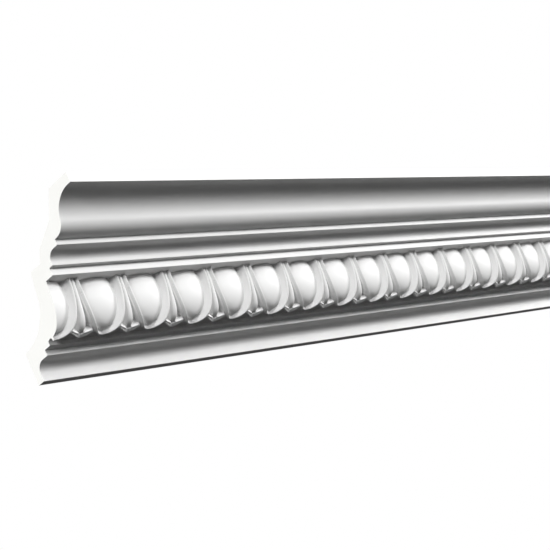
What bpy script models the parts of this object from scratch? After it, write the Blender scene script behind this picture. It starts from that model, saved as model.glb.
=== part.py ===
# Egg-and-dart cornice moulding, one straight length.
# It is a single moulded piece of rigid foam. Its profile runs along X, its flat back goes against
# the wall (+Y) and its flat top against the ceiling (+Z), and a row of eggs in U-shaped shells,
# with arrow-headed darts between them, is carved into its ovolo.
# Sizes are in millimetres and become metres when the mesh is made. A point of the cross-section is
# (out, up): its distance from the wall into the room, and its height above the moulding's foot.

import bmesh
import bpy
import math
import numpy as np
from mathutils.geometry import delaunay_2d_cdt

# Length and the repeat of the ornament
MM = 0.001
PITCH = 2000.0 / 30
REPEATS = 16
LENGTH = PITCH * REPEATS
HALF_PITCH = PITCH / 2

# Contact faces
PROJECTION = 152.6
HEIGHT = 156.6
WALL_FACE_HEIGHT = 36.5
CEILING_FACE_DEPTH = 30.0
ORIGIN_UP = WALL_FACE_HEIGHT / 2

# Foot: a square lip under a small cove
LIP_OUT = 9.3
LIP_UP = 8.7
FOOT_COVE_RADIUS = 10.5
FOOT_COVE_TOP_OUT = 28.3
FOOT_FILLET_TOP = 25.7
LEDGE_OUT = 37.3
LEDGE_UP = 27.6

# Ovolo that carries the eggs: part of a superellipse that starts flat at its foot
OVOLO_FOOT_OUT = 43.8
OVOLO_REACH = 28.4
OVOLO_RISE = 104.6
OVOLO_POWER = 3.45
SOFFIT_UP = 82.1

# Fillets and the middle cove above the ovolo
SOFFIT_OUT = 79.6
SOFFIT_FILLET_TOP = 90.4
COVE_LIP_OUT = 84.9
COVE_LIP_TOP = 93.4
MIDDLE_COVE_RADIUS = 10.4
MIDDLE_COVE_TOP_OUT = 102.3
CYMA_FOOT_UP = 110.2

# Cyma: a round below that turns into a hollow above, then the square nose at the ceiling
CYMA_FOOT_OUT = 105.2
CYMA_ROUND_RADIUS = 15.0
CYMA_HOLLOW_TOP_OUT = 148.1
NOSE_UP = 145.3

# Hollow back, from the ceiling down to the wall
BACK_BEND = (105.8, 130.5)
BACK_SHOULDER = (77.3, 114.0)
BACK_SHELF_OUT = 69.8
BACK_SHELF_UP = 101.0
BACK_SHELF_ROOT = 52.8
BACK_SWEEP_START = (46.4, 67.8)

# Shell around each egg: a thin rim that follows half an ellipse, open at the soffit
RIM_HALF_WIDTH = 27.8
RIM_POWER = 2.0
RIM_FOOT = 1.2
RIM_HALF_THICKNESS = 1.0
RIM_WALL_SLOPE = 3.6
COVE_WIDTH = 7.0
COVE_FOOT_WIDTH = 2.4
COVE_RUN = 30.0
COVE_DEPTH = 8.6
COVE_POWER = 1.6
RIM_FOOT_RISE = 0.5
RIM_FOOT_RUN = 12.0

# Egg
EGG_HALF_WIDTH = 25.4
EGG_CENTRE = 47.0
EGG_BELOW = 45.0
EGG_ABOVE = 49.0
EGG_FOOT_POWER = 1.6
EGG_CROWN_DEPTH = 3.5
EGG_CROWN_DIP = 2.3
EGG_DIP_POWER = 1.67
EGG_FALL = 5.8
EGG_TOP_FALL = 10.0
EGG_FOOT_FALL = 4.0
EGG_FOOT_RUN = 32.0
EGG_FOOT_RISE = 2.0
EGG_RISE_POWER = 8

# Dart between the shells
DART_FOOT_DEPTH = 2.7
DART_TOP_DEPTH = 1.5
DART_FALL = 2.6
DART_HALF_WIDTH = 2.5
DART_WIDENS_FROM = 42.0
DART_TAPER = 0.07
DART_END = 6.0

# Arrowhead at the dart's foot, with a short round bar along the top of each barb
ARROW_TIP = 0.8
ARROW_EDGE_SLOPE = 0.66
ARROW_TOP = 3.6
ARROW_TOP_SLOPE = 0.45
ARROW_HALF_WIDTH = 13.6
ARROW_DEPTH = 0.0
ARROW_LEAN = 0.62
BAR_RADIUS = 1.7
BAR_DEPTH = 0.5
BAR_FALL = 2.2
BAR_START = 4.4
BAR_END = 12.2
CARVING_WALL_SLOPE = 3.0

# Ground between the shells and the darts
GROUND_DEPTH = 9.5
GROUND_FOOT_DEPTH = 2.5
GROUND_RUN = 36.0

# Mesh: how finely the arcs and the carving are divided
ARC_STEPS = 6
CYMA_STEPS = 5
RIM_STEPS = 12
EGG_STEPS = 10
EGG_STEP_POWER = 1.6
EGG_RINGS = (0.42, 0.74, 1.0)
RIM_OFFSETS = (-RIM_HALF_THICKNESS, RIM_HALF_THICKNESS, 2.6)
DART_STEPS = 8
DART_FOOT = 8.0
ARROW_OUTLINES = (0.0, BAR_RADIUS, 3.4)
LEDGE_STEPS = 4
WELD = 0.02


def arc(centre, radius, start, end, steps):
    """Points on an arc of the cross-section, between two angles in degrees."""
    angles = [math.radians(start + (end - start) * i / steps) for i in range(steps + 1)]
    return [(centre[0] + radius * math.cos(a), centre[1] + radius * math.sin(a)) for a in angles]


def cyma_points():
    """The round at the cyma's foot and the hollow that meets it in one smooth line."""
    round_centre = (CYMA_FOOT_OUT, CYMA_FOOT_UP + CYMA_ROUND_RADIUS)
    run = CYMA_HOLLOW_TOP_OUT - CYMA_FOOT_OUT
    rise = NOSE_UP - round_centre[1]
    hollow_radius = (run ** 2 + rise ** 2 - CYMA_ROUND_RADIUS ** 2) / (2 * (CYMA_ROUND_RADIUS + rise))
    hollow_centre = (CYMA_HOLLOW_TOP_OUT, NOSE_UP - hollow_radius)
    turn = math.degrees(math.atan2(hollow_centre[1] - round_centre[1], hollow_centre[0] - round_centre[0]))
    below = arc(round_centre, CYMA_ROUND_RADIUS, -90, turn, CYMA_STEPS)
    above = arc(hollow_centre, hollow_radius, turn + 180, 90, CYMA_STEPS)
    return below + above[1:]


def front_below():
    """Cross-section from the wall's foot up to the foot of the ledge under the carving."""
    cove_centre = (LIP_OUT + FOOT_COVE_RADIUS, LIP_UP)
    cove = arc(cove_centre, FOOT_COVE_RADIUS, 180, 90, ARC_STEPS)
    return [(0, 0), (LIP_OUT, 0)] + cove + [
        (FOOT_COVE_TOP_OUT, cove[-1][1]),
        (FOOT_COVE_TOP_OUT, FOOT_FILLET_TOP),
        (LEDGE_OUT, FOOT_FILLET_TOP),
    ]


def front_above():
    """Cross-section from the soffit's outer edge over the coves to the back edge of the top."""
    cove_centre = (COVE_LIP_OUT + MIDDLE_COVE_RADIUS, COVE_LIP_TOP)
    cove = arc(cove_centre, MIDDLE_COVE_RADIUS, 180, 90, ARC_STEPS)
    return [
        (SOFFIT_OUT, SOFFIT_UP),
        (SOFFIT_OUT, SOFFIT_FILLET_TOP),
        (COVE_LIP_OUT, SOFFIT_FILLET_TOP),
    ] + cove + [
        (MIDDLE_COVE_TOP_OUT, cove[-1][1]),
        (MIDDLE_COVE_TOP_OUT, CYMA_FOOT_UP),
    ] + cyma_points() + [
        (PROJECTION, NOSE_UP),
        (PROJECTION, HEIGHT),
        (PROJECTION - CEILING_FACE_DEPTH, HEIGHT),
    ]


def back():
    """Cross-section of the hollow back, from the ceiling face down to the wall face."""
    out, up = BACK_SWEEP_START
    drop = up - WALL_FACE_HEIGHT
    radius = (out ** 2 + drop ** 2) / (2 * drop)
    end_angle = math.degrees(math.asin(out / radius)) - 90
    sweep = arc((0, WALL_FACE_HEIGHT + radius), radius, end_angle, -90, ARC_STEPS)
    return [
        BACK_BEND,
        BACK_SHOULDER,
        (BACK_SHELF_OUT, BACK_SHELF_UP),
        (BACK_SHELF_ROOT, BACK_SHELF_UP),
    ] + sweep


def ovolo_table():
    """Arc length, place and inward direction along the ovolo, from the ledge to the soffit."""
    depth_under_top = np.linspace(OVOLO_RISE, OVOLO_RISE + LEDGE_UP - SOFFIT_UP, 4000)
    reach = (1 - (depth_under_top / OVOLO_RISE) ** OVOLO_POWER) ** (1 / OVOLO_POWER)
    out = np.concatenate([[LEDGE_OUT], OVOLO_FOOT_OUT + OVOLO_REACH * reach])
    up = np.concatenate([[LEDGE_UP], OVOLO_RISE + LEDGE_UP - depth_under_top])
    length = np.concatenate([[0], np.cumsum(np.hypot(np.diff(out), np.diff(up)))])
    length -= OVOLO_FOOT_OUT - LEDGE_OUT
    half_height = SOFFIT_UP - LEDGE_UP
    half_reach = out[-1] - OVOLO_FOOT_OUT
    toward_out = np.clip(out - OVOLO_FOOT_OUT, 0, None) / half_reach ** 2
    toward_up = (up - SOFFIT_UP) / half_height ** 2
    norm = np.hypot(toward_out, toward_up)
    return length, out, up, toward_out / norm, toward_up / norm


OVOLO = ovolo_table()
OVOLO_START = OVOLO[0][0]
OVOLO_END = OVOLO[0][-1]
RIM_HEIGHT = OVOLO_END - RIM_FOOT


def on_ovolo(along, depth):
    """(out, up) of a point sunk by depth below the ovolo, at a distance along it."""
    out, up, way_out, way_up = (np.interp(along, OVOLO[0], column) for column in OVOLO[1:])
    return out - depth * way_out, up - depth * way_up


def rim_offset(across, along):
    """Distance from the rim's centre line, negative inside the shell."""
    down = np.maximum(OVOLO_END - along, 0)
    a = np.maximum(across / RIM_HALF_WIDTH, 0.01)
    b = down / RIM_HEIGHT
    g = np.maximum((a ** RIM_POWER + b ** RIM_POWER) ** (1 / RIM_POWER), 0.05)
    slope_a = (a / g) ** (RIM_POWER - 1) / RIM_HALF_WIDTH
    slope_b = (b / g) ** (RIM_POWER - 1) / RIM_HEIGHT
    return (g - 1) / np.hypot(slope_a, slope_b)


def egg_half_width(along):
    """Half the egg's width at a distance along the ovolo."""
    below = np.clip((EGG_CENTRE - along) / EGG_BELOW, 0, 1) ** EGG_FOOT_POWER
    above = np.clip((along - EGG_CENTRE) / EGG_ABOVE, 0, 1) ** 2
    return EGG_HALF_WIDTH * np.sqrt(np.clip(1 - below - above, 1e-4, 1))


def dome(ratio, fall):
    """Fall of a rounded back from its middle (ratio 0) to its edge (ratio 1), then steep."""
    inside = np.clip(ratio, 0, 1)
    steep = CARVING_WALL_SLOPE * fall * np.clip(ratio - 1, 0, None)
    return fall * (1 - np.sqrt(1 - inside ** 2)) + steep


def shell_depth(across, along):
    """Depth of the rim, its steep outer wall and the hollow inside it."""
    offset = rim_offset(across, along)
    outside = RIM_WALL_SLOPE * np.clip(offset - RIM_HALF_THICKNESS, 0, None)
    width = COVE_FOOT_WIDTH + (COVE_WIDTH - COVE_FOOT_WIDTH) * np.clip(along / COVE_RUN, 0, 1)
    inward = np.clip((-offset - RIM_HALF_THICKNESS) / width, 0, 1)
    proud = RIM_FOOT_RISE * np.clip(1 - along / RIM_FOOT_RUN, 0, 1)
    return outside + COVE_DEPTH * (1 - (1 - inward) ** COVE_POWER) - proud


def egg_depth(across, along):
    """Depth of the egg's back."""
    half = egg_half_width(along)
    below = np.clip(1 - along / EGG_CENTRE, 0, 1)
    dip = EGG_CROWN_DIP * np.sin(np.pi * below ** EGG_DIP_POWER) - EGG_FOOT_RISE * below ** EGG_RISE_POWER
    rise = np.clip((along - EGG_CENTRE) / (OVOLO_END - EGG_CENTRE), 0, 1)
    fall = EGG_FALL + (EGG_TOP_FALL - EGG_FALL) * rise ** 2
    fall = fall + EGG_FOOT_FALL * np.clip(1 - along / EGG_FOOT_RUN, 0, 1)
    return EGG_CROWN_DEPTH + dip + dome(across / half, fall)


def dart_half_width(along):
    """Half the width of the dart's shaft, which widens slowly towards the arrowhead."""
    return DART_HALF_WIDTH + DART_TAPER * np.clip(DART_WIDENS_FROM - along, 0, None)


def dart_depth(across, along):
    """Depth of the dart's rounded shaft, which ends inside the arrowhead."""
    side = np.abs(HALF_PITCH - across)
    ending = CARVING_WALL_SLOPE * np.clip(DART_END - along, 0, None)
    crest = DART_FOOT_DEPTH + (DART_TOP_DEPTH - DART_FOOT_DEPTH) * np.clip(along / OVOLO_END, 0, 1)
    return crest + dome(side / dart_half_width(along), DART_FALL) + ending


def arrow_depth(across, along):
    """Depth of the arrowhead's face, its steep sides and the round bar on each barb."""
    side = np.abs(HALF_PITCH - across)
    below = (ARROW_TIP + ARROW_EDGE_SLOPE * side - along) / math.hypot(1, ARROW_EDGE_SLOPE)
    above = (along - ARROW_TOP - ARROW_TOP_SLOPE * side) / math.hypot(1, ARROW_TOP_SLOPE)
    beyond = np.maximum(np.maximum(below, above - BAR_RADIUS), side - ARROW_HALF_WIDTH)
    face = ARROW_DEPTH + ARROW_LEAN * above + CARVING_WALL_SLOPE * np.clip(beyond, 0, None)
    past_end = np.clip(np.maximum(BAR_START - side, side - BAR_END), 0, None)
    from_bar = np.hypot(above - BAR_RADIUS, past_end)
    return np.minimum(face, BAR_DEPTH + dome(from_bar / BAR_RADIUS, BAR_FALL))


def ground_depth(along):
    """Depth of the ground between the carved forms, shallow at the ledge."""
    rise = np.clip((along - OVOLO_START) / GROUND_RUN, 0, 1)
    return GROUND_FOOT_DEPTH + (GROUND_DEPTH - GROUND_FOOT_DEPTH) * rise * (2 - rise)


def carving_depth(across, along):
    """Depth of the carved surface below the ovolo: whichever form stands proudest."""
    shell = shell_depth(across, along)
    inside = np.minimum(shell, egg_depth(across, along))
    between = np.minimum(dart_depth(across, along), arrow_depth(across, along))
    outside = np.minimum(np.minimum(shell, between), ground_depth(along))
    return np.where(rim_offset(across, along) < 0, inside, outside)


def rim_line(offset):
    """Points on a line beside the rim's crest, from the shell's foot up to the soffit."""
    points = []
    for step in range(RIM_STEPS + 1):
        angle = math.pi / 2 * (1 - step / RIM_STEPS)
        a = math.cos(angle) ** (2 / RIM_POWER) if step else 0.0
        b = math.sin(angle) ** (2 / RIM_POWER) if step < RIM_STEPS else 0.0
        normal_a = a ** (RIM_POWER - 1) / RIM_HALF_WIDTH
        normal_b = b ** (RIM_POWER - 1) / RIM_HEIGHT
        length = math.hypot(normal_a, normal_b)
        across = RIM_HALF_WIDTH * a + offset * normal_a / length
        down = RIM_HEIGHT * b + offset * normal_b / length
        points.append((across, OVOLO_END - down))
    return points


def egg_ring(ring):
    """Points on a smaller outline inside the egg's own, from its foot up to the soffit."""
    foot = EGG_CENTRE - EGG_BELOW * ring
    points = []
    for step in range(EGG_STEPS + 1):
        along = foot + (OVOLO_END - foot) * (step / EGG_STEPS) ** EGG_STEP_POWER
        inner = EGG_CENTRE - (EGG_CENTRE - along) / ring if along < EGG_CENTRE else along
        points.append((ring * float(egg_half_width(inner)), along))
    return points


def dart_lines():
    """Points on the dart's crest and on the edge of its shaft, from the arrowhead up."""
    crest, edge = [], []
    for step in range(DART_STEPS + 1):
        along = DART_FOOT + (OVOLO_END - DART_FOOT) * step / DART_STEPS
        crest.append((HALF_PITCH, along))
        edge.append((HALF_PITCH - float(dart_half_width(along)), along))
    return crest, edge


def arrow_outline(offset):
    """Half the arrowhead's outline, moved outwards by offset, from its tip round to its top."""
    tip = ARROW_TIP - offset * math.hypot(1, ARROW_EDGE_SLOPE)
    top = ARROW_TOP + offset * math.hypot(1, ARROW_TOP_SLOPE)
    sides = [0, BAR_START, BAR_END, ARROW_HALF_WIDTH + min(offset, BAR_RADIUS)]
    below = [(HALF_PITCH - side, tip + ARROW_EDGE_SLOPE * side) for side in sides]
    above = [(HALF_PITCH - side, top + ARROW_TOP_SLOPE * side) for side in reversed(sides)]
    return below + above


def snap(value, low, high):
    """The value, moved onto a limit that it has almost reached or has passed."""
    if value < low + WELD:
        return low
    return high if value > high - WELD else value


def half_cell():
    """Points and triangles of the carving from an egg's middle line to a dart's middle line."""
    lines = [rim_line(offset) for offset in RIM_OFFSETS]
    lines += [egg_ring(ring) for ring in EGG_RINGS]
    lines += [arrow_outline(offset) for offset in ARROW_OUTLINES]
    lines += dart_lines()
    lines.append([(HALF_PITCH * step / LEDGE_STEPS, OVOLO_START) for step in range(LEDGE_STEPS + 1)])
    lines.append([(0.0, EGG_CENTRE), (0.0, OVOLO_END)])
    points, edges = [], []
    for line in lines:
        first = len(points)
        points += [(snap(x, 0.0, HALF_PITCH), snap(s, OVOLO_START, OVOLO_END)) for x, s in line]
        edges += [(i, i + 1) for i in range(first, len(points) - 1)]
    corners = [(0.0, OVOLO_START), (HALF_PITCH, OVOLO_START), (HALF_PITCH, OVOLO_END), (0.0, OVOLO_END)]
    found = delaunay_2d_cdt(points + corners, edges, [], 0, WELD)
    return [tuple(point) for point in found[0]], found[2]


def to_frame(x, point):
    """A place along the moulding and a point of its cross-section, in metres in the part's frame."""
    out, up = point
    return x * MM, -out * MM, (up - ORIGIN_UP) * MM


def add_face(mesh, corners):
    """A face from its corners, each given as (x, point)."""
    mesh.faces.new([mesh.verts.new(to_frame(x, point)) for x, point in corners])


def band(mesh, below, above):
    """The long face between two lines of the cross-section, each a point with its places along X."""
    lower = [(x, below[0]) for x in below[1]]
    upper = [(x, above[0]) for x in reversed(above[1])]
    add_face(mesh, lower + upper)


def moulding_mesh():
    """The whole length as one closed skin."""
    mesh = bmesh.new()
    bounds = [PITCH * (i - REPEATS / 2) for i in range(REPEATS + 1)]
    ends = [bounds[0], bounds[-1]]

    # Plain bands: from the soffit's edge over the top, down the back and round the foot
    chain = front_above() + back() + front_below()
    rows = [(point, ends) for point in chain]
    rows[0] = (chain[0], bounds)
    rows[-1] = (chain[-1], bounds)
    for below, above in zip(rows, rows[1:]):
        band(mesh, below, above)

    # Carving: one half cell, and its mirror image, in each repeat
    points, triangles = half_cell()
    sunk = [on_ovolo(along, carving_depth(across, along)) for across, along in points]
    places = [(across, section) for (across, along), section in zip(points, sunk)]
    for start in bounds[:-1]:
        for triangle in triangles:
            add_face(mesh, [(start + places[i][0], places[i][1]) for i in triangle])
            add_face(mesh, [(start + PITCH - places[i][0], places[i][1]) for i in reversed(triangle)])

    # Soffit above the carving and the little upright of the ledge below it
    for along, edge in ((OVOLO_END, chain[0]), (OVOLO_START, chain[-1])):
        side = sorted(places[i] for i, point in enumerate(points) if abs(point[1] - along) < WELD)
        other = [(PITCH - across, section) for across, section in reversed(side[:-1])]
        for start in bounds[:-1]:
            carved = [(start + across, section) for across, section in side + other]
            add_face(mesh, [(start + PITCH, edge), (start, edge)] + carved)

    # Sawn ends, each through the middle of an egg
    middle = sorted((point[1], sunk[i]) for i, point in enumerate(points) if point[0] < WELD)
    outline = chain + [section for along, section in middle]
    for x in ends:
        add_face(mesh, [(x, point) for point in outline])

    bmesh.ops.remove_doubles(mesh, verts=mesh.verts, dist=WELD * MM)
    bmesh.ops.recalc_face_normals(mesh, faces=mesh.faces)
    return mesh


def white_foam():
    """Primed white face of rigid foam."""
    material = bpy.data.materials.new("white_foam")
    material.use_nodes = True
    shader = material.node_tree.nodes["Principled BSDF"]
    shader.inputs["Base Color"].default_value = (0.86, 0.86, 0.85, 1)
    shader.inputs["Roughness"].default_value = 0.62
    shader.inputs["Metallic"].default_value = 0
    return material


def make_cornice():
    """The moulding as one object, shaded smooth between its crisp edges."""
    data = bpy.data.meshes.new("cornice")
    mesh = moulding_mesh()
    mesh.to_mesh(data)
    mesh.free()
    data.shade_smooth()
    data.set_sharp_from_angle(angle=math.radians(32))
    data.materials.append(white_foam())
    cornice = bpy.data.objects.new("cornice", data)
    bpy.context.scene.collection.objects.link(cornice)
    return cornice


for old in list(bpy.data.objects):
    bpy.data.objects.remove(old)

make_cornice()
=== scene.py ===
# Looks of the egg-and-dart cornice moulding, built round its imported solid.
# The sections follow the moulding's profile from its foot to the ceiling and down its back, then its
# carving, its finishes and the studio. A point of the profile is (out, up), in millimetres: out from
# the wall and up from the moulding's foot.

import math

import bmesh
import bpy
import numpy as np
from mathutils import Matrix, Vector
from mathutils.geometry import delaunay_2d_cdt


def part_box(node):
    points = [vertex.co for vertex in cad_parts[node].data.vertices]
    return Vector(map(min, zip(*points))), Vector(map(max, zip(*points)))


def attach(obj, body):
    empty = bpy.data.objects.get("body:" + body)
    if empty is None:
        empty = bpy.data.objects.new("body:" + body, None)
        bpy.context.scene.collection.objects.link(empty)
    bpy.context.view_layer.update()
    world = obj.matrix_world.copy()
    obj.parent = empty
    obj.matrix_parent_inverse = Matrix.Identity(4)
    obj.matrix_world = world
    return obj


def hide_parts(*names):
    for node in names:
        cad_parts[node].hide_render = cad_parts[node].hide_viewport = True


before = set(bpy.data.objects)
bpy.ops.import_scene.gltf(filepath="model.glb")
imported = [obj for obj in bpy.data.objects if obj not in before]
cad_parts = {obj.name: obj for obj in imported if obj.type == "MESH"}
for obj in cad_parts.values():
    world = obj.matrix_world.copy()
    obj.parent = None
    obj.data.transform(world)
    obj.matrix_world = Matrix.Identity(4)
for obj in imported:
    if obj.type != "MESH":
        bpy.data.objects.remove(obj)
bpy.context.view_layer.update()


# Blank length
# The moulding is one straight piece of rigid foam that swells to fill a closed mould. Both ends are
# sawn square through the middle of an egg, so a whole number of eggs fits between them.
MM = 0.001
LOW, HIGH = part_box("cornice")
LENGTH = (HIGH.x - LOW.x) / MM
PROJECTION = (HIGH.y - LOW.y) / MM
HEIGHT = (HIGH.z - LOW.z) / MM
ORIGIN_UP = -LOW.z / MM
REPEATS = 16
PITCH = LENGTH / REPEATS
HALF_PITCH = PITCH / 2
STARTS = [PITCH * (count - REPEATS / 2) for count in range(REPEATS)]
ENDS = (-LENGTH / 2, LENGTH / 2)


# Foot
# Below the carving, the moulding starts at the wall with a square lip, a small cove and a flat
# fillet. The mould leaves every arris a little round, so the corners are eased.
LIP_OUT = 9.3
LIP_UP = 8.7
FOOT_COVE_RADIUS = 10.5
FOOT_COVE_TOP_OUT = 28.3
FOOT_FILLET_TOP = 25.7
LEDGE_OUT = 37.3
ARC_STEP = 4.5
ARRIS_RADIUS = 0.55
ARRIS_STEPS = 4
ARRIS_MARGIN = 0.35
ARRIS_SHARE = 0.45
CORNER_TURN = math.radians(25)


def arc(centre, radius, start, end):
    """Points on an arc of the cross-section, between two angles in degrees."""
    steps = max(2, round(abs(end - start) / ARC_STEP))
    angles = [math.radians(start + (end - start) * step / steps) for step in range(steps + 1)]
    return [(centre[0] + radius * math.cos(a), centre[1] + radius * math.sin(a)) for a in angles]


def eased(outline):
    """The outline with its sharp corners rounded, and a point on the flat at each side of them."""
    soft = [outline[0]]
    for before, corner, after in zip(outline, outline[1:], outline[2:]):
        before, corner, after = Vector(before), Vector(corner), Vector(after)
        back, ahead = before - corner, after - corner
        room = ARRIS_SHARE * min(back.length, ahead.length)
        back.normalize()
        ahead.normalize()
        turn = (-back).angle(ahead)
        if turn < CORNER_TURN:
            soft.append(tuple(corner))
            continue
        reach = min(ARRIS_RADIUS * math.tan(turn / 2), room)
        margin = min(reach + ARRIS_MARGIN, room)
        soft.append(tuple(corner + back * margin))
        for step in range(ARRIS_STEPS + 1):
            t = step / ARRIS_STEPS
            pull = back * (reach * (1 - t) ** 2) + ahead * (reach * t ** 2)
            soft.append(tuple(corner + pull))
        soft.append(tuple(corner + ahead * margin))
    return soft + [outline[-1]]


def foot_outline():
    """From the wall over the lip and the cove to the ledge under the carving."""
    cove = arc((LIP_OUT + FOOT_COVE_RADIUS, LIP_UP), FOOT_COVE_RADIUS, 180, 90)
    return [(0, WALL_FACE_HEIGHT), (0, 0), (LIP_OUT, 0)] + cove + [
        (FOOT_COVE_TOP_OUT, cove[-1][1]),
        (FOOT_COVE_TOP_OUT, FOOT_FILLET_TOP),
        (LEDGE_OUT, FOOT_FILLET_TOP),
        (LEDGE_OUT, LEDGE_UP),
    ]


# Soffit, middle cove, cyma and nose
# Above the carving, a flat soffit steps out to a fillet and a quarter-round cove. Over it a cyma,
# round below and hollow above, carries the square nose that meets the ceiling.
SOFFIT_UP = 82.1
SOFFIT_OUT = 79.6
SOFFIT_FILLET_TOP = 90.4
COVE_LIP_OUT = 84.9
COVE_LIP_TOP = 93.4
MIDDLE_COVE_RADIUS = 10.4
MIDDLE_COVE_TOP_OUT = 102.3
CYMA_FOOT_UP = 110.2
CYMA_FOOT_OUT = 105.2
CYMA_ROUND_RADIUS = 15.0
CYMA_HOLLOW_TOP_OUT = 148.1
NOSE_UP = 145.3
CEILING_FACE_DEPTH = 30.0


def cyma():
    """The round at the cyma's foot and the hollow that meets it in one smooth line."""
    round_centre = (CYMA_FOOT_OUT, CYMA_FOOT_UP + CYMA_ROUND_RADIUS)
    run = CYMA_HOLLOW_TOP_OUT - CYMA_FOOT_OUT
    rise = NOSE_UP - round_centre[1]
    hollow_radius = (run ** 2 + rise ** 2 - CYMA_ROUND_RADIUS ** 2) / (2 * (CYMA_ROUND_RADIUS + rise))
    hollow_centre = (CYMA_HOLLOW_TOP_OUT, NOSE_UP - hollow_radius)
    away = (hollow_centre[0] - round_centre[0], hollow_centre[1] - round_centre[1])
    turn = math.degrees(math.atan2(away[1], away[0]))
    below = arc(round_centre, CYMA_ROUND_RADIUS, -90, turn)
    above = arc(hollow_centre, hollow_radius, turn + 180, 90)
    return below + above[1:]


def top_outline():
    """From the carving's soffit over the coves and the nose to the back edge of the top."""
    cove = arc((COVE_LIP_OUT + MIDDLE_COVE_RADIUS, COVE_LIP_TOP), MIDDLE_COVE_RADIUS, 180, 90)
    return [
        (OVOLO_TOP_OUT, SOFFIT_UP),
        (SOFFIT_OUT, SOFFIT_UP),
        (SOFFIT_OUT, SOFFIT_FILLET_TOP),
        (COVE_LIP_OUT, SOFFIT_FILLET_TOP),
    ] + cove + [
        (MIDDLE_COVE_TOP_OUT, cove[-1][1]),
        (MIDDLE_COVE_TOP_OUT, CYMA_FOOT_UP),
    ] + cyma() + [
        (PROJECTION, NOSE_UP),
        (PROJECTION, HEIGHT),
        (PROJECTION - CEILING_FACE_DEPTH, HEIGHT),
    ]


# Hollow back
# The moulding's back stays clear of the corner between wall and ceiling, so only the narrow wall
# face and the flat top touch. It is never seen once the moulding is up.
WALL_FACE_HEIGHT = 36.5
BACK_BEND = (105.8, 130.5)
BACK_SHOULDER = (77.3, 114.0)
BACK_SHELF_OUT = 69.8
BACK_SHELF_UP = 101.0
BACK_SHELF_ROOT = 52.8
BACK_SWEEP_START = (46.4, 67.8)


def back_outline():
    """From the back edge of the top down the hollow back to the wall face."""
    out, up = BACK_SWEEP_START
    drop = up - WALL_FACE_HEIGHT
    radius = (out ** 2 + drop ** 2) / (2 * drop)
    end_angle = math.degrees(math.asin(out / radius)) - 90
    sweep = arc((0, WALL_FACE_HEIGHT + radius), radius, end_angle, -90)
    return [
        (PROJECTION - CEILING_FACE_DEPTH, HEIGHT),
        BACK_BEND,
        BACK_SHOULDER,
        (BACK_SHELF_OUT, BACK_SHELF_UP),
        (BACK_SHELF_ROOT, BACK_SHELF_UP),
    ] + sweep


# Ovolo
# The carved band bulges out and up from the ledge to the soffit along part of a superellipse. A
# place on it is (across, along): across from the middle of an egg, along from the ovolo's foot.
LEDGE_UP = 27.6
OVOLO_FOOT_OUT = 43.8
OVOLO_REACH = 28.4
OVOLO_RISE = 104.6
OVOLO_POWER = 3.45
OVOLO_SAMPLES = 4000


def ovolo_table():
    """Arc length, place and outward direction along the ovolo, from the ledge to the soffit."""
    under_top = np.linspace(OVOLO_RISE, OVOLO_RISE + LEDGE_UP - SOFFIT_UP, OVOLO_SAMPLES)
    reach = (1 - (under_top / OVOLO_RISE) ** OVOLO_POWER) ** (1 / OVOLO_POWER)
    out = np.concatenate([[LEDGE_OUT], OVOLO_FOOT_OUT + OVOLO_REACH * reach])
    up = np.concatenate([[LEDGE_UP], OVOLO_RISE + LEDGE_UP - under_top])
    length = np.concatenate([[0], np.cumsum(np.hypot(np.diff(out), np.diff(up)))])
    length -= OVOLO_FOOT_OUT - LEDGE_OUT
    half_height = SOFFIT_UP - LEDGE_UP
    half_reach = out[-1] - OVOLO_FOOT_OUT
    toward_out = np.clip(out - OVOLO_FOOT_OUT, 0, None) / half_reach ** 2
    toward_up = (up - SOFFIT_UP) / half_height ** 2
    norm = np.hypot(toward_out, toward_up)
    return length, out, up, toward_out / norm, toward_up / norm


OVOLO = ovolo_table()
OVOLO_START = OVOLO[0][0]
OVOLO_END = OVOLO[0][-1]
OVOLO_TOP_OUT = OVOLO[1][-1]


def on_ovolo(along, depth):
    """(out, up) of places sunk by depth below the ovolo, at distances along it."""
    out, up, way_out, way_up = (np.interp(along, OVOLO[0], column) for column in OVOLO[1:])
    return out - depth * way_out, up - depth * way_up


# Eggs
# Each egg is moulded with a low rounded back. It is widest near the soffit that cuts it off, and
# tucks in at its foot. Its sides fall away into the shell that holds it.
EGG_HALF_WIDTH = 25.4
EGG_CENTRE = 47.0
EGG_BELOW = 45.0
EGG_ABOVE = 49.0
EGG_FOOT_POWER = 1.6
EGG_CROWN_DEPTH = 3.5
EGG_CROWN_DIP = 2.3
EGG_DIP_POWER = 1.67
EGG_FALL = 5.8
EGG_TOP_FALL = 10.0
EGG_FOOT_FALL = 4.0
EGG_FOOT_RUN = 32.0
EGG_FOOT_RISE = 2.0
EGG_RISE_POWER = 8
EDGE_SLOPE = 3.0
LEAST_ROOM = 1e-4


def egg_half_width(along):
    """Half the egg's width at a distance along the ovolo."""
    below = np.clip((EGG_CENTRE - along) / EGG_BELOW, 0, 1) ** EGG_FOOT_POWER
    above = np.clip((along - EGG_CENTRE) / EGG_ABOVE, 0, 1) ** 2
    return EGG_HALF_WIDTH * np.sqrt(np.clip(1 - below - above, LEAST_ROOM, 1))


def dome(ratio, fall):
    """Fall of a rounded back from its middle (ratio 0) to its edge (ratio 1), then steep."""
    inside = np.clip(ratio, 0, 1)
    return fall * (1 - np.sqrt(1 - inside ** 2)) + EDGE_SLOPE * fall * np.clip(ratio - 1, 0, None)


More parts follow.
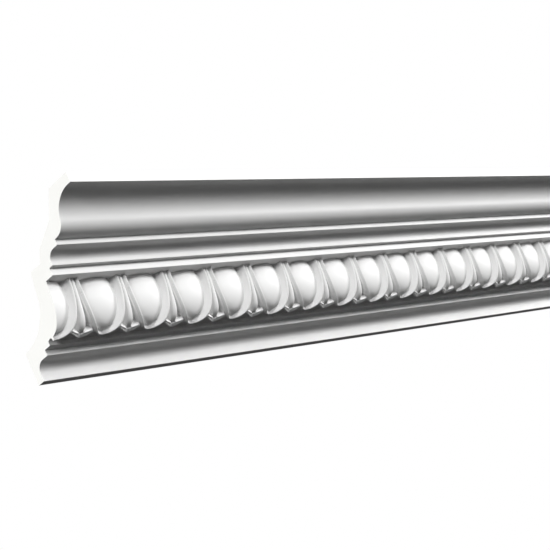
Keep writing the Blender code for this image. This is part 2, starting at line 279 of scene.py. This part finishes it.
def egg_depth(across, along):
    """Depth of the egg's back."""
    half = egg_half_width(along)
    below = np.clip(1 - along / EGG_CENTRE, 0, 1)
    dip = EGG_CROWN_DIP * np.sin(np.pi * below ** EGG_DIP_POWER)
    dip = dip - EGG_FOOT_RISE * below ** EGG_RISE_POWER
    above = np.clip((along - EGG_CENTRE) / (OVOLO_END - EGG_CENTRE), 0, 1)
    fall = EGG_FALL + (EGG_TOP_FALL - EGG_FALL) * above ** 2
    fall = fall + EGG_FOOT_FALL * np.clip(1 - along / EGG_FOOT_RUN, 0, 1)
    return EGG_CROWN_DEPTH + dip + dome(across / half, fall)


# Shells
# A thin round bead runs round the egg in a U that is open at the soffit. Inside it a hollow wall
# sinks to the egg. Outside it the shell steps down to a narrow flange, then to the ground.
RIM_HALF_WIDTH = 27.8
RIM_POWER = 2.0
RIM_FOOT = 1.2
RIM_HALF_THICKNESS = 1.0
RIM_CROWN = 0.6
RIM_WALL_SLOPE = 6.0
RIM_STEP = 0.8
RIM_STEP_WIDTH = 0.3
FLANGE_DEPTH = 2.8
FLANGE_WIDTH = 1.7
FLANGE_SLOPE = 0.6
COVE_WIDTH = 7.0
COVE_FOOT_WIDTH = 2.4
COVE_RUN = 30.0
COVE_DEPTH = 8.0
COVE_POWER = 1.6
RIM_FOOT_RISE = 0.5
RIM_FOOT_RUN = 12.0
RIM_HEIGHT = OVOLO_END - RIM_FOOT
RIM_LEAST_ACROSS = 0.01
RIM_LEAST_SIZE = 0.05
RIM_STEPS = 70
RIM_LINES = (-5.6, -4.4, -3.4, -2.6, -1.9, -1.3, -1.0, -0.7, -0.35, 0.0,
             0.35, 0.7, 1.0, 1.45, 1.9, 2.4, 3.0, 3.3, 3.6, 4.2)


def rim_offset(across, along):
    """Distance from the rim's middle line, negative inside the shell."""
    down = np.maximum(OVOLO_END - along, 0)
    a = np.maximum(across / RIM_HALF_WIDTH, RIM_LEAST_ACROSS)
    b = down / RIM_HEIGHT
    size = np.maximum((a ** RIM_POWER + b ** RIM_POWER) ** (1 / RIM_POWER), RIM_LEAST_SIZE)
    slope_a = (a / size) ** (RIM_POWER - 1) / RIM_HALF_WIDTH
    slope_b = (b / size) ** (RIM_POWER - 1) / RIM_HEIGHT
    return (size - 1) / np.hypot(slope_a, slope_b)


def shell_depth(across, along):
    """Depth of the rim's round bead, the flange outside it and the hollow inside it."""
    offset = rim_offset(across, along)
    crown = RIM_CROWN * np.clip(np.abs(offset) / RIM_HALF_THICKNESS, 0, 1) ** 2
    outward = np.clip(offset - RIM_HALF_THICKNESS, 0, None)
    foot = FLANGE_DEPTH / RIM_WALL_SLOPE
    flange = FLANGE_SLOPE * np.clip(outward - foot, 0, FLANGE_WIDTH)
    walls = np.clip(outward, 0, foot) + np.clip(outward - foot - FLANGE_WIDTH, 0, None)
    inward = np.clip(-offset - RIM_HALF_THICKNESS, 0, None)
    step = RIM_STEP * np.clip(inward / RIM_STEP_WIDTH, 0, 1)
    width = COVE_FOOT_WIDTH + (COVE_WIDTH - COVE_FOOT_WIDTH) * np.clip(along / COVE_RUN, 0, 1)
    hollow = COVE_DEPTH * (1 - (1 - np.clip(inward / width, 0, 1)) ** COVE_POWER)
    proud = RIM_FOOT_RISE * np.clip(1 - along / RIM_FOOT_RUN, 0, 1)
    return crown + RIM_WALL_SLOPE * walls + flange + step + hollow - proud


def rim_line(offset):
    """Points on a line beside the rim's crest, from the shell's foot up to the soffit."""
    points = []
    for step in range(RIM_STEPS + 1):
        angle = math.pi / 2 * (1 - step / RIM_STEPS)
        a = math.cos(angle) ** (2 / RIM_POWER) if step else 0.0
        b = math.sin(angle) ** (2 / RIM_POWER) if step < RIM_STEPS else 0.0
        normal_a = a ** (RIM_POWER - 1) / RIM_HALF_WIDTH
        normal_b = b ** (RIM_POWER - 1) / RIM_HEIGHT
        length = math.hypot(normal_a, normal_b)
        across = RIM_HALF_WIDTH * a + offset * normal_a / length
        down = RIM_HEIGHT * b + offset * normal_b / length
        points.append((across, OVOLO_END - down))
    return points


# Darts
# Between two shells a thin rounded shaft hangs from the soffit. It widens slowly towards its foot,
# where it runs into its arrowhead.
DART_FOOT_DEPTH = 2.7
DART_TOP_DEPTH = 1.5
DART_FALL = 2.6
DART_HALF_WIDTH = 2.5
DART_WIDENS_FROM = 42.0
DART_TAPER = 0.07
DART_END = 6.0
DART_STEPS = 60
DART_LINES = (0.0, 0.35, 0.6, 0.8, 0.92, 1.0, 1.1, 1.25, 1.45)


def dart_half_width(along):
    """Half the width of the dart's shaft at a distance along the ovolo."""
    return DART_HALF_WIDTH + DART_TAPER * np.clip(DART_WIDENS_FROM - along, 0, None)


def dart_depth(across, along):
    """Depth of the dart's rounded shaft, which ends inside the arrowhead."""
    side = np.abs(HALF_PITCH - across)
    ending = EDGE_SLOPE * np.clip(DART_END - along, 0, None)
    crest = DART_FOOT_DEPTH + (DART_TOP_DEPTH - DART_FOOT_DEPTH) * np.clip(along / OVOLO_END, 0, 1)
    return crest + dome(side / dart_half_width(along), DART_FALL) + ending


def dart_line(ratio):
    """Points on a line down the shaft, at a share of its half width from the middle."""
    alongs = np.linspace(ARROW_TOP, OVOLO_END, DART_STEPS)
    return [(HALF_PITCH - ratio * float(dart_half_width(along)), along) for along in alongs]


# Arrowheads
# The dart ends in a broad arrowhead that hangs over the ledge. A short round bar lies along the top
# of each barb.
ARROW_TIP = 0.8
ARROW_EDGE_SLOPE = 0.66
ARROW_TOP = 3.6
ARROW_TOP_SLOPE = 0.45
ARROW_HALF_WIDTH = 13.6
ARROW_DEPTH = 0.0
ARROW_LEAN = 0.62
BAR_RADIUS = 1.7
BAR_DEPTH = 0.5
BAR_FALL = 2.2
BAR_START = 4.4
BAR_END = 12.2
ARROW_LINES = (-1.6, -0.8, -0.3, 0.0, 0.3, 0.7, 1.2, 1.7, 2.2, 2.7, 3.1, 3.4, 3.8, 4.3)
ARROW_STEP = 0.9


def arrow_depth(across, along):
    """Depth of the arrowhead's face, its steep sides and the round bar on each barb."""
    side = np.abs(HALF_PITCH - across)
    below = (ARROW_TIP + ARROW_EDGE_SLOPE * side - along) / math.hypot(1, ARROW_EDGE_SLOPE)
    above = (along - ARROW_TOP - ARROW_TOP_SLOPE * side) / math.hypot(1, ARROW_TOP_SLOPE)
    beyond = np.maximum(np.maximum(below, above - BAR_RADIUS), side - ARROW_HALF_WIDTH)
    face = ARROW_DEPTH + ARROW_LEAN * above + EDGE_SLOPE * np.clip(beyond, 0, None)
    past_end = np.clip(np.maximum(BAR_START - side, side - BAR_END), 0, None)
    from_bar = np.hypot(above - BAR_RADIUS, past_end)
    return joined(face, BAR_DEPTH + dome(from_bar / BAR_RADIUS, BAR_FALL))


def arrow_line(offset):
    """Half the arrowhead's outline, moved outwards by offset, from its tip round to its top."""
    tip = ARROW_TIP - offset * math.hypot(1, ARROW_EDGE_SLOPE)
    top = ARROW_TOP + offset * math.hypot(1, ARROW_TOP_SLOPE)
    end = ARROW_HALF_WIDTH + min(offset, ARROW_STEP)
    sides = np.linspace(0, end, round(end / ARROW_STEP) + 1)
    below = [(HALF_PITCH - side, tip + ARROW_EDGE_SLOPE * side) for side in sides]
    above = [(HALF_PITCH - side, top + ARROW_TOP_SLOPE * side) for side in sides[::-1]]
    return below + above


# Ground
# The hollow ground behind the shells and the darts is shallow at the ledge and deep higher up. The
# carved forms stand on it, and the small fillets between them are as round as the mould leaves them.
GROUND_DEPTH = 9.5
GROUND_FOOT_DEPTH = 2.5
GROUND_RUN = 36.0
FILLET = 0.4


def ground_depth(along):
    """Depth of the ground between the carved forms."""
    rise = np.clip((along - OVOLO_START) / GROUND_RUN, 0, 1)
    return GROUND_FOOT_DEPTH + (GROUND_DEPTH - GROUND_FOOT_DEPTH) * rise * (2 - rise)


def joined(one, other):
    """Depth of two forms that meet in a small fillet: whichever stands proudest."""
    blend = np.clip(0.5 + 0.5 * (other - one) / FILLET, 0, 1)
    return other + (one - other) * blend - FILLET * blend * (1 - blend)


def carving_depth(across, along):
    """Depth of the whole carved surface below the ovolo."""
    shell = shell_depth(across, along)
    inside = joined(shell, egg_depth(across, along))
    between = joined(dart_depth(across, along), arrow_depth(across, along))
    outside = joined(joined(shell, between), ground_depth(along))
    return np.where(rim_offset(across, along) < 0, inside, outside)


# Carved face
# One half repeat, from the middle of an egg to the middle of a dart, is triangulated along its own
# lines, with an even scatter between them. Every repeat is that half and its mirror image.
LINE_GAP = 0.45
FILL_STEP = 1.15
WELD = 0.01


def snap(value, low, high):
    """The value, moved onto a limit that it has almost reached or has passed."""
    if value < low + WELD:
        return low
    return high if value > high - WELD else value


def half_repeat():
    """Places (across, along) and triangles of half a repeat."""
    lines = [rim_line(offset) for offset in RIM_LINES]
    lines += [arrow_line(offset) for offset in ARROW_LINES]
    lines += [dart_line(ratio) for ratio in DART_LINES]
    taken, kept = set(), []
    for line in lines:
        for across, along in line:
            place = (snap(across, 0.0, HALF_PITCH), snap(along, OVOLO_START, OVOLO_END))
            cell = (int(place[0] // LINE_GAP), int(place[1] // LINE_GAP))
            if cell not in taken:
                taken.add(cell)
                kept.append(place)
    columns = int(HALF_PITCH / FILL_STEP)
    rows = int((OVOLO_END - OVOLO_START) / FILL_STEP)
    for column in range(columns + 1):
        for row in range(rows + 1):
            along = OVOLO_START + (OVOLO_END - OVOLO_START) * row / rows
            place = (HALF_PITCH * column / columns, along)
            cell = (int(place[0] // LINE_GAP), int(place[1] // LINE_GAP))
            near = [(cell[0] + i, cell[1] + j) for i in (-1, 0, 1) for j in (-1, 0, 1)]
            on_edge = column in (0, columns) or row in (0, rows)
            if on_edge or not taken.intersection(near):
                taken.add(cell)
                kept.append(place)
    found = delaunay_2d_cdt([Vector(place) for place in kept], [], [], 0, WELD)
    return np.array([tuple(place) for place in found[0]]), [tuple(face) for face in found[2]]


# Whole moulding
# The plain bands run the full length and the carved repeats fill the ovolo between them. The mesh is
# one closed skin with three finishes: primed front, bare back and sawn ends.
FINISHES = ("primed", "bare", "sawn")
WELD_DISTANCE = 2e-6
SHARP_ANGLE = math.radians(50)


def to_frame(x, out, up):
    """A place along the moulding and a point of its cross-section, in metres in the frame."""
    return x * MM, -out * MM, (up - ORIGIN_UP) * MM


def moulding_mesh():
    """The whole length as one closed mesh, with a finish on each face."""
    places, triangles = half_repeat()
    out, up = on_ovolo(places[:, 1], carving_depth(places[:, 0], places[:, 1]))
    corners, faces, finishes = [], [], []

    def add(points, finish):
        faces.append(tuple(range(len(corners), len(corners) + len(points))))
        corners.extend(to_frame(*point) for point in points)
        finishes.append(FINISHES.index(finish))

    # Carved repeats
    for start in STARTS:
        for mirrored in (False, True):
            xs = start + (PITCH - places[:, 0] if mirrored else places[:, 0])
            first = len(corners)
            corners.extend(to_frame(*point) for point in zip(xs, out, up))
            faces.extend(tuple(first + i for i in triangle) for triangle in triangles)
            finishes.extend([FINISHES.index("primed")] * len(triangles))

    # Plain bands
    top = eased(top_outline())[1:-1]
    foot = eased(foot_outline())[1:-1]
    back = eased([top[-1]] + back_outline() + [foot[0]])
    for outline, finish in ((top, "primed"), (back, "bare"), (foot, "primed")):
        for below, above in zip(outline, outline[1:]):
            add([(ENDS[0], *below), (ENDS[1], *below), (ENDS[1], *above), (ENDS[0], *above)], finish)

    # Strips that join the carving to the soffit's edge above it and to the ledge below it
    for along, edge in ((OVOLO_END, top[0]), (OVOLO_START, foot[-1])):
        row = np.flatnonzero(np.abs(places[:, 1] - along) < WELD)
        side = sorted((places[i, 0], out[i], up[i]) for i in row)
        other = [(PITCH - across, *section) for across, *section in reversed(side[:-1])]
        for start in STARTS:
            carved = [(start + across, *section) for across, *section in side + other]
            add([(start + PITCH, *edge), (start, *edge)] + carved, "primed")

    # Sawn ends, each through the middle of an egg
    middle = np.flatnonzero(places[:, 0] < WELD)
    cut = [(out[i], up[i]) for i in sorted(middle, key=lambda i: places[i, 1])]
    for x in ENDS:
        add([(x, *point) for point in top + back[1:] + foot[1:] + cut], "sawn")

    data = bpy.data.meshes.new("moulding")
    data.from_pydata(corners, [], faces)
    data.polygons.foreach_set("material_index", finishes)
    mesh = bmesh.new()
    mesh.from_mesh(data)
    bmesh.ops.remove_doubles(mesh, verts=mesh.verts, dist=WELD_DISTANCE)
    bmesh.ops.recalc_face_normals(mesh, faces=mesh.faces)
    mesh.to_mesh(data)
    mesh.free()
    data.shade_smooth()
    data.set_sharp_from_angle(angle=SHARP_ANGLE)
    return data


moulding = bpy.data.objects.new("moulding", moulding_mesh())
bpy.context.scene.collection.objects.link(moulding)


# Skin of the foam
# The foam's skin copies the mould's fine stipple, with a pinhole here and there where a bubble met
# the steel. Every finish takes it, at its own strength.
STIPPLE_DETAIL = 3.0
STIPPLE_ROUGHNESS = 0.6
PINHOLE_SPACING = 14.0
PINHOLE_SHARE = 0.16
PINHOLE_RADIUS = 0.035
MOTTLE_SIZE = 45.0
MOTTLE_DETAIL = 4.0
PRIMER_SKIN = {"Stipple Size": 1.3, "Stipple": 0.6, "Pinholes": 2.0}


def add_node(tree, kind, **settings):
    """A new node in the tree with its settings and plain input values."""
    made = tree.nodes.new(kind)
    for name, value in settings.items():
        if name in made.inputs:
            made.inputs[name].default_value = value
        else:
            setattr(made, name, value)
    return made


def add_math(tree, operation, *values):
    """The result of a maths node on sockets or plain numbers."""
    made = tree.nodes.new("ShaderNodeMath")
    made.operation = operation
    for place, value in enumerate(values):
        if isinstance(value, bpy.types.NodeSocket):
            tree.links.new(value, made.inputs[place])
        else:
            made.inputs[place].default_value = value
    return made.outputs[0]


def new_group(name, inputs, outputs):
    """An empty node group with named number sockets, and its input and output nodes."""
    group = bpy.data.node_groups.new(name, "ShaderNodeTree")
    for socket, value in inputs.items():
        made = group.interface.new_socket(socket, in_out="INPUT", socket_type="NodeSocketFloat")
        made.default_value = value
    for socket in outputs:
        group.interface.new_socket(socket, in_out="OUTPUT", socket_type="NodeSocketFloat")
    return group, group.nodes.new("NodeGroupInput"), group.nodes.new("NodeGroupOutput")


def foam_skin():
    """Relief and mottle of moulded foam: stipple, pinholes and a broad unevenness."""
    group, given, result = new_group("foam_skin", PRIMER_SKIN, ("Height", "Mottle"))
    place = add_node(group, "ShaderNodeTexCoord")
    grain = add_node(group, "ShaderNodeTexNoise", Detail=STIPPLE_DETAIL, Roughness=STIPPLE_ROUGHNESS)
    group.links.new(place.outputs["Object"], grain.inputs["Vector"])
    per_metre = add_math(group, "DIVIDE", 1 / MM, given.outputs["Stipple Size"])
    group.links.new(per_metre, grain.inputs["Scale"])
    stipple = add_math(group, "MULTIPLY", grain.outputs["Fac"], given.outputs["Stipple"])
    holes = add_node(group, "ShaderNodeTexVoronoi", Scale=1 / (PINHOLE_SPACING * MM))
    group.links.new(place.outputs["Object"], holes.inputs["Vector"])
    chance = add_node(group, "ShaderNodeSeparateColor")
    group.links.new(holes.outputs["Color"], chance.inputs[0])
    chosen = add_math(group, "LESS_THAN", chance.outputs[0], PINHOLE_SHARE)
    near = add_math(group, "LESS_THAN", holes.outputs["Distance"], PINHOLE_RADIUS)
    pit = add_math(group, "MULTIPLY", chosen, near)
    depth = add_math(group, "MULTIPLY", pit, given.outputs["Pinholes"])
    group.links.new(add_math(group, "SUBTRACT", stipple, depth), result.inputs["Height"])
    mottle = add_node(group, "ShaderNodeTexNoise", Scale=1 / (MOTTLE_SIZE * MM), Detail=MOTTLE_DETAIL)
    group.links.new(place.outputs["Object"], mottle.inputs["Vector"])
    group.links.new(mottle.outputs["Fac"], result.inputs["Mottle"])
    return group


FOAM_SKIN = foam_skin()


def new_finish(name, light, dark, rough, sheen, relief, skin):
    """A material whose colour and roughness follow the mottle and whose bump is the foam's skin."""
    material = bpy.data.materials.new(name)
    material.use_nodes = True
    tree = material.node_tree
    shader = tree.nodes["Principled BSDF"]
    shader.inputs["Specular IOR Level"].default_value = sheen
    group = add_node(tree, "ShaderNodeGroup", node_tree=FOAM_SKIN)
    for socket, value in skin.items():
        group.inputs[socket].default_value = value
    colour = add_node(tree, "ShaderNodeMix", data_type="RGBA")
    colour.inputs["A"].default_value = (*dark, 1)
    colour.inputs["B"].default_value = (*light, 1)
    tree.links.new(group.outputs["Mottle"], colour.inputs["Factor"])
    tree.links.new(colour.outputs["Result"], shader.inputs["Base Color"])
    roughness = add_node(tree, "ShaderNodeMapRange")
    roughness.inputs["To Min"].default_value = rough[0]
    roughness.inputs["To Max"].default_value = rough[1]
    tree.links.new(group.outputs["Mottle"], roughness.inputs["Value"])
    tree.links.new(roughness.outputs["Result"], shader.inputs["Roughness"])
    bump = add_node(tree, "ShaderNodeBump", Strength=relief[0], Distance=relief[1] * MM)
    tree.links.new(group.outputs["Height"], bump.inputs["Height"])
    tree.links.new(bump.outputs["Normal"], shader.inputs["Normal"])
    return material


# Primed front
# The face is moulded of rigid foam under a coat of white primer, which is sprayed into the mould
# and leaves it smooth and matt with a slight sheen.
PRIMER_LIGHT = (0.875, 0.875, 0.87)
PRIMER_DARK = (0.845, 0.845, 0.84)
PRIMER_ROUGH = (0.42, 0.58)
PRIMER_SHEEN = 0.4
PRIMER_RELIEF = (0.35, 0.06)
moulding.data.materials.append(new_finish(
    "primed_front", PRIMER_LIGHT, PRIMER_DARK, PRIMER_ROUGH, PRIMER_SHEEN, PRIMER_RELIEF, PRIMER_SKIN))


# Bare back
# No primer reaches the back, so it keeps the foam's own duller, creamier skin, with a coarser grain
# and more pinholes.
BACK_LIGHT = (0.80, 0.79, 0.75)
BACK_DARK = (0.72, 0.70, 0.65)
BACK_ROUGH = (0.75, 0.9)
BACK_SHEEN = 0.25
BACK_RELIEF = (0.6, 0.25)
BACK_SKIN = {"Stipple Size": 2.2, "Stipple": 1.0, "Pinholes": 3.0}
moulding.data.materials.append(new_finish(
    "bare_back", BACK_LIGHT, BACK_DARK, BACK_ROUGH, BACK_SHEEN, BACK_RELIEF, BACK_SKIN))


# Sawn ends
# Both ends show the foam itself. The saw opens its fine cells and leaves a clean, almost white face
# without primer.
CUT_LIGHT = (0.90, 0.90, 0.88)
CUT_DARK = (0.85, 0.85, 0.82)
CUT_ROUGH = (0.8, 0.95)
CUT_SHEEN = 0.2
CUT_RELIEF = (0.5, 0.12)
CUT_CELLS = {"Stipple Size": 0.8, "Stipple": 1.0, "Pinholes": 2.0}
moulding.data.materials.append(new_finish(
    "sawn_end", CUT_LIGHT, CUT_DARK, CUT_ROUGH, CUT_SHEEN, CUT_RELIEF, CUT_CELLS))

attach(moulding, "root")
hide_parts("cornice")


# Camera
# The photograph looks up along the moulding from below its near end, from about a metre and a half
# away. Places in it were read at the centres of its pixels, which the half pixel's turn makes good.
FOCAL_PIXELS = 1480
PICTURE_PIXELS = 550
SENSOR_WIDTH = 36.0
CAMERA_PLACE = (-LENGTH / 2 - 978.2, -1068.2, -422.9 - ORIGIN_UP)
CAMERA_RIGHT = (0.6411, -0.6451, -0.4156)
CAMERA_AHEAD = (0.7652, 0.5785, 0.2825)
HALF_PIXEL_TURN = 0.5 / FOCAL_PIXELS

ahead = Vector(CAMERA_AHEAD).normalized()
right = Vector(CAMERA_RIGHT)
right = (right - ahead * right.dot(ahead)).normalized()
up = right.cross(ahead)
aim = (ahead + up * HALF_PIXEL_TURN - right * HALF_PIXEL_TURN).normalized()
right = (right - aim * right.dot(aim)).normalized()
up = right.cross(aim)
turned = Matrix((right, up, -aim)).transposed().to_4x4()
turned.translation = Vector(CAMERA_PLACE) * MM
lens = bpy.data.cameras.new("camera")
lens.sensor_width = SENSOR_WIDTH
lens.lens = SENSOR_WIDTH * FOCAL_PIXELS / PICTURE_PIXELS
camera = bpy.data.objects.new("camera", lens)
camera.matrix_world = turned
bpy.context.scene.collection.objects.link(camera)
bpy.context.scene.camera = camera


# Floor
# A plain pale grey floor lies a room's height below the moulding. It is there for views from above,
# and sends no light back up.
FLOOR_DROP = 2.4
FLOOR_SIZE = 9.0
FLOOR_COLOUR = (0.42, 0.42, 0.41, 1)
FLOOR_ROUGHNESS = 0.9
floor_edge = FLOOR_SIZE / 2
floor_corners = [
    (-floor_edge, -floor_edge, 0),
    (floor_edge, -floor_edge, 0),
    (floor_edge, floor_edge, 0),
    (-floor_edge, floor_edge, 0),
]
sheet = bpy.data.meshes.new("floor")
sheet.from_pydata(floor_corners, [], [(0, 1, 2, 3)])
floor = bpy.data.objects.new("floor", sheet)
floor.location.z = -FLOOR_DROP
floor.visible_diffuse = False
floor.visible_glossy = False
bpy.context.scene.collection.objects.link(floor)
pale = bpy.data.materials.new("pale_floor")
pale.use_nodes = True
paint = pale.node_tree.nodes["Principled BSDF"]
paint.inputs["Base Color"].default_value = FLOOR_COLOUR
paint.inputs["Roughness"].default_value = FLOOR_ROUGHNESS
sheet.materials.append(pale)


# Light
# Soft lamps stand in front of the moulding. More of their light comes from the right than from the
# left, so each egg darkens to its left. A lamp beside the near end whitens the cut.
SKY_STRENGTH = 0.4
SKY_FROM = -0.05
SKY_TO = 0.6
# Each lamp: its name, degrees to the right, degrees above level, strength
LAMPS = (
    ("high_front", 0, 42, 1.35),
    ("front", 0, 20, 0.6),
    ("right_front", 35, 20, 0.8),
    ("right", 60, 20, 1.45),
    ("low_right", 60, 0, 0.25),
    ("left", -60, 20, 1.0),
)
LAMP_SPREAD = 14
GROUND_SHARE = 0.11
GROUND_FROM = 0.05
GROUND_TO = -0.6
END_LAMP_WAY = (-1.0, 0.75, 0.1)
END_LAMP_STRENGTH = 2.6
END_LAMP_SPREAD = 30
WHITE = (1, 1, 1, 1)


def add_lamp(name, way, strength, spread):
    """A soft distant lamp that shines from the given direction."""
    lamp = bpy.data.lights.new(name, "SUN")
    lamp.energy = strength
    lamp.angle = math.radians(spread)
    held = bpy.data.objects.new(name, lamp)
    held.rotation_euler = Vector(way).to_track_quat("Z", "Y").to_euler()
    bpy.context.scene.collection.objects.link(held)


for name, to_right, above_level, strength in LAMPS:
    sideways = math.tan(math.radians(to_right))
    lift = math.radians(above_level)
    add_lamp(name, (sideways, -math.cos(lift), math.sin(lift)), strength, LAMP_SPREAD)
add_lamp("end_lamp", END_LAMP_WAY, END_LAMP_STRENGTH, END_LAMP_SPREAD)

world = bpy.data.worlds.new("studio")
world.use_nodes = True
bpy.context.scene.world = world
tree = world.node_tree
backdrop = tree.nodes["Background"]
backdrop.inputs["Color"].default_value = WHITE
sky = add_node(tree, "ShaderNodeBackground", Strength=SKY_STRENGTH)
way = add_node(tree, "ShaderNodeTexCoord")
height = add_node(tree, "ShaderNodeSeparateXYZ")
tree.links.new(way.outputs["Generated"], height.inputs[0])
glow = add_node(tree, "ShaderNodeMapRange")
glow.inputs["From Min"].default_value = SKY_FROM
glow.inputs["From Max"].default_value = SKY_TO
tree.links.new(height.outputs["Z"], glow.inputs["Value"])
from_below = add_node(tree, "ShaderNodeMapRange")
from_below.inputs["From Min"].default_value = GROUND_FROM
from_below.inputs["From Max"].default_value = GROUND_TO
from_below.inputs["To Max"].default_value = GROUND_SHARE
tree.links.new(height.outputs["Z"], from_below.inputs["Value"])
both = add_math(tree, "ADD", glow.outputs["Result"], from_below.outputs["Result"])
tree.links.new(both, sky.inputs["Color"])
seen = add_node(tree, "ShaderNodeLightPath")
either = add_node(tree, "ShaderNodeMixShader")
tree.links.new(seen.outputs["Is Camera Ray"], either.inputs[0])
tree.links.new(sky.outputs[0], either.inputs[1])
tree.links.new(backdrop.outputs[0], either.inputs[2])
tree.links.new(either.outputs[0], tree.nodes["World Output"].inputs["Surface"])
bpy.context.scene.view_settings.view_transform = "Standard"
